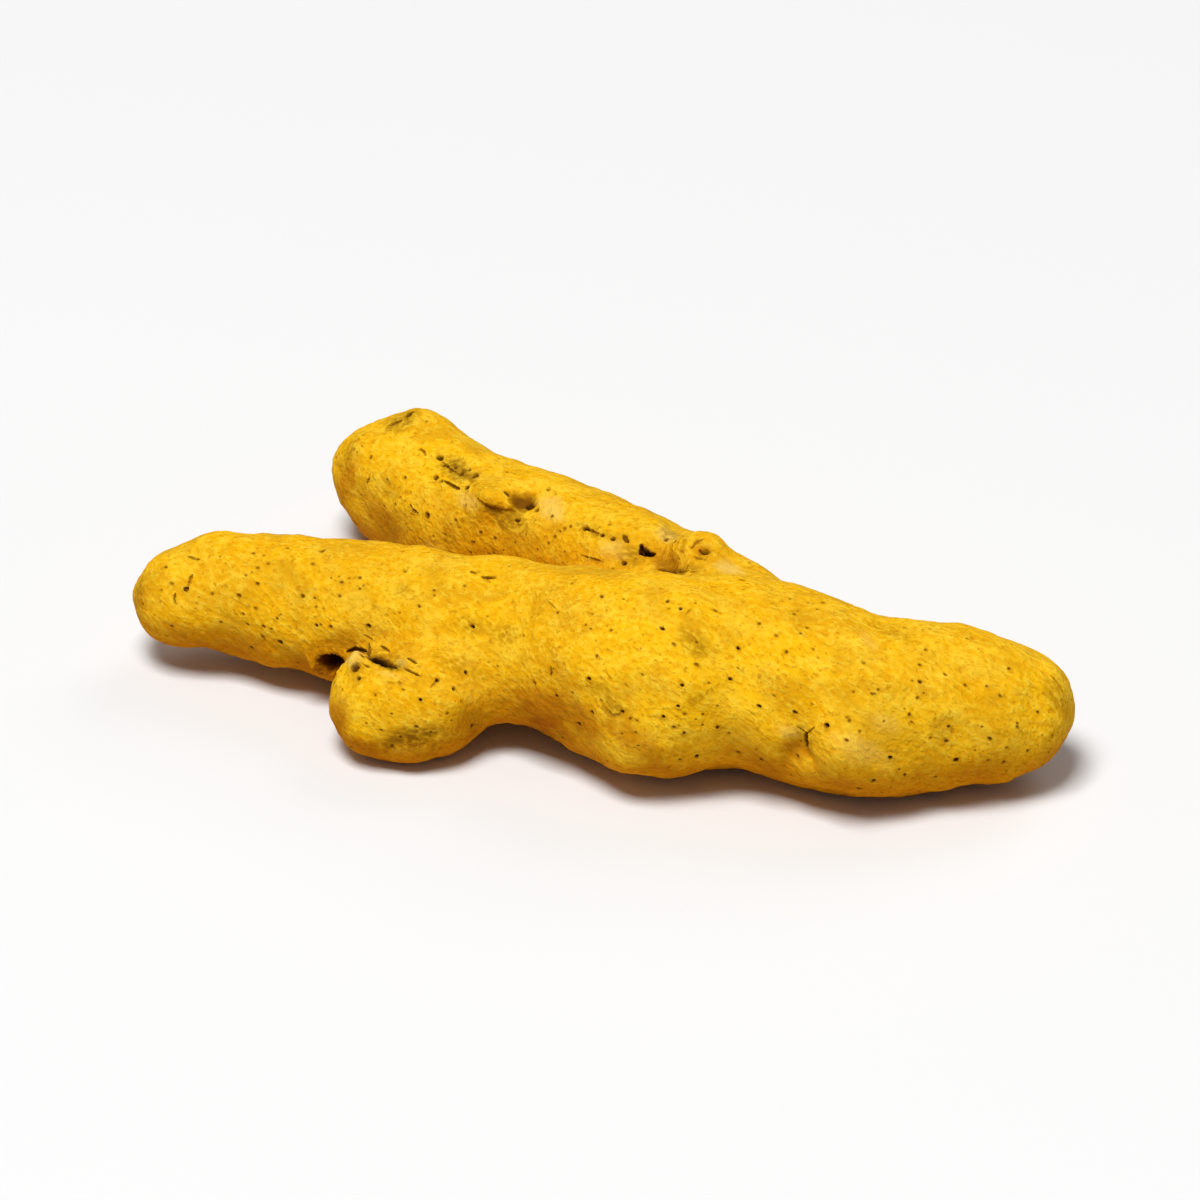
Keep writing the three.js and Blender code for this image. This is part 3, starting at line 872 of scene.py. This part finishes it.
def dusty_skin():
    material = bpy.data.materials.new("dusty_turmeric_skin")
    material.use_nodes = True
    tree = material.node_tree
    place = add_node(tree, "ShaderNodeTexCoord").outputs["Object"]
    broad = grain_noise(tree, place, 16, 9, 2)
    flecked = grain_noise(tree, place, 0.5, 0.3, 0)
    cloudy = grain_noise(tree, place, 5, 3, 3)
    blotchy = grain_noise(tree, place, 3.4, 1.8, 3)
    mottled = grain_noise(tree, place, 0.6, 0.36, 1)
    gritty = grain_noise(tree, place, 0.2, 0.17, 1)

    # Each layer: its noise, the range of it that counts, the shares at the range's ends, and the colour.
    layers = (
        (broad, 0.3, 0.6, 0.6, 1, GOLD),
        (blotchy, 0.4, 0.75, 0, 0.5, PALE_GOLD),
        (cloudy, 0.48, 0.7, 0, 0.55, DULL),
        (mottled, 0.5, 0.3, 0, 0.5, DEEP_GOLD),
        (mottled, 0.5, 0.7, 0, 0.45, PALE_GOLD),
        (gritty, 0.38, 0.24, 0, 0.6, ORANGE),
        (flecked, 0.34, 0.2, 0, 0.35, BROWN),
    )
    colour = skin_colour(DEEP_GOLD)
    for noise, low, high, to_low, to_high, tint in layers:
        share = ranged(tree, noise, low, high, to_low, to_high)
        colour = mixed(tree, share, colour, skin_colour(tint))
    # Duller gold in the relief's hollows, pale chalky dust with a painted sheen on the end, and orange
    # painted shade.
    for kind, strength, tint in (("hollow", 0.6, DULL), ("chalk", 0.8, CHALK_AND_SHEEN), ("bare", 0.85, ORANGE)):
        share = product(tree, painted(tree, kind), strength)
        colour = mixed(tree, share, colour, skin_colour(tint))
    # Stains, and painted shade under the nub and between prong and bud, in the stain colour.
    speckle = ranged(tree, mottled, 0.72, 0.34, 0.25, 1.0)
    colour = mixed(tree, product(tree, painted(tree, "stain"), speckle), colour, skin_colour(STAIN))
    # Dark tissue in the pores and cracks, and painted shade in the crevices, gaps and hollows.
    colour = mixed(tree, painted(tree, "pore"), colour, skin_colour(PORE_AND_SHADE))
    # Painted deep shade at the bottoms of the crevice, the gap, the hole in the fork and the hollow.
    colour = mixed(tree, painted(tree, "void"), colour, skin_colour(DEEP_SHADE))
    # Painted shade: darker where the rest of the rhizome or the floor closes the skin in, and a little
    # darker the more the skin faces down.
    occlusion_shade_share = ranged(tree, painted(tree, "occlusion_shade"), 0.06, 0.66)
    colour = mixed(tree, occlusion_shade_share, colour, PAINTED_SHADE_TINT, "MULTIPLY")
    colour = mixed(tree, product(tree, painted(tree, "under"), 0.3), colour, PAINTED_SHADE_TINT, "MULTIPLY")

    grain = total(tree, product(tree, mottled, 0.85), product(tree, gritty, 0.15))
    inputs = {"Height": grain, "Strength": 1.0, "Distance": BUMP_DEPTH}
    bump = add_node(tree, "ShaderNodeBump", inputs).outputs[0]
    shader = tree.nodes["Principled BSDF"]
    tree.links.new(colour, shader.inputs["Base Color"])
    tree.links.new(ranged(tree, blotchy, 0.3, 0.7, 0.78, 0.92), shader.inputs["Roughness"])
    tree.links.new(bump, shader.inputs["Normal"])
    shader.inputs["Specular IOR Level"].default_value = 0.03
    return material


# The stage: a pale floor, a soft light above and a little in front, a weaker one behind, dim light from
# all round, and the camera on the photograph's line of sight. Sizes and distances are in metres, the lens
# in millimetres, and the picture's centre in the photograph's pixels.
FLOOR_SIZE = 8.0
FLOOR_GREY = 0.77
ROOM_LIGHT = 0.16
CAMERA_LENS = 500
CAMERA_DISTANCE = 1.18
PICTURE_CENTRE = (653.5, 245)


def make_floor():
    half = FLOOR_SIZE / 2
    mesh = bpy.data.meshes.new("floor")
    corners = [(-half, -half, 0), (half, -half, 0), (half, half, 0), (-half, half, 0)]
    mesh.from_pydata(corners, [], [(0, 1, 2, 3)])
    floor = bpy.data.objects.new("floor", mesh)
    bpy.context.collection.objects.link(floor)
    material = bpy.data.materials.new("pale_floor")
    material.use_nodes = True
    shader = material.node_tree.nodes["Principled BSDF"]
    shader.inputs["Base Color"].default_value = (FLOOR_GREY, FLOOR_GREY, FLOOR_GREY, 1)
    shader.inputs["Roughness"].default_value = 0.9
    mesh.materials.append(material)
    floor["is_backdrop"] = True


def add_light(name, direction, distance, size, power):
    """A square soft white light in this direction from the rhizome, facing it."""
    data = bpy.data.lights.new(name, "AREA")
    data.size = size
    data.energy = power
    light = bpy.data.objects.new(name, data)
    towards = Vector(direction).normalized()
    light.location = towards * distance
    light.rotation_euler = towards.to_track_quat("Z", "Y").to_euler()
    bpy.context.collection.objects.link(light)


def light_stage():
    add_light("key", (-0.08, -0.34, 1.0), distance=1.6, size=0.6, power=28)
    add_light("back", (0.4, 1.0, 0.9), distance=1.8, size=1.0, power=5)
    world = bpy.data.worlds.new("pale_room")
    world.use_nodes = True
    background = world.node_tree.nodes["Background"]
    background.inputs["Color"].default_value = (1, 1, 1, 1)
    background.inputs["Strength"].default_value = ROOM_LIGHT
    bpy.context.scene.world = world
    bpy.context.scene.view_settings.view_transform = "Standard"


def set_camera():
    across = (PICTURE_CENTRE[0] - ORIGIN_PIXEL[0]) * MM_PER_PIXEL
    down = (PICTURE_CENTRE[1] - ORIGIN_PIXEL[1]) * MM_PER_PIXEL
    target = (RIGHT * across - UP * down) * MM
    data = bpy.data.cameras.new("camera")
    data.lens = CAMERA_LENS
    data.clip_start = 0.01
    camera = bpy.data.objects.new("camera", data)
    camera.location = Vector(target - DEPTH * CAMERA_DISTANCE)
    camera.rotation_euler = Vector(DEPTH).to_track_quat("-Z", "Y").to_euler()
    bpy.context.collection.objects.link(camera)
    bpy.context.scene.camera = camera


set_camera()
light_stage()
make_floor()
rhizome = make_rhizome()
rhizome.data.materials.clear()
rhizome.data.materials.append(dusty_skin())
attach(rhizome, "root")
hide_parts(NODE)

boxes = {"cad": CAD_BOX, "visual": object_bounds()}
{name: [list(corner) for corner in box] for name, box in boxes.items()}
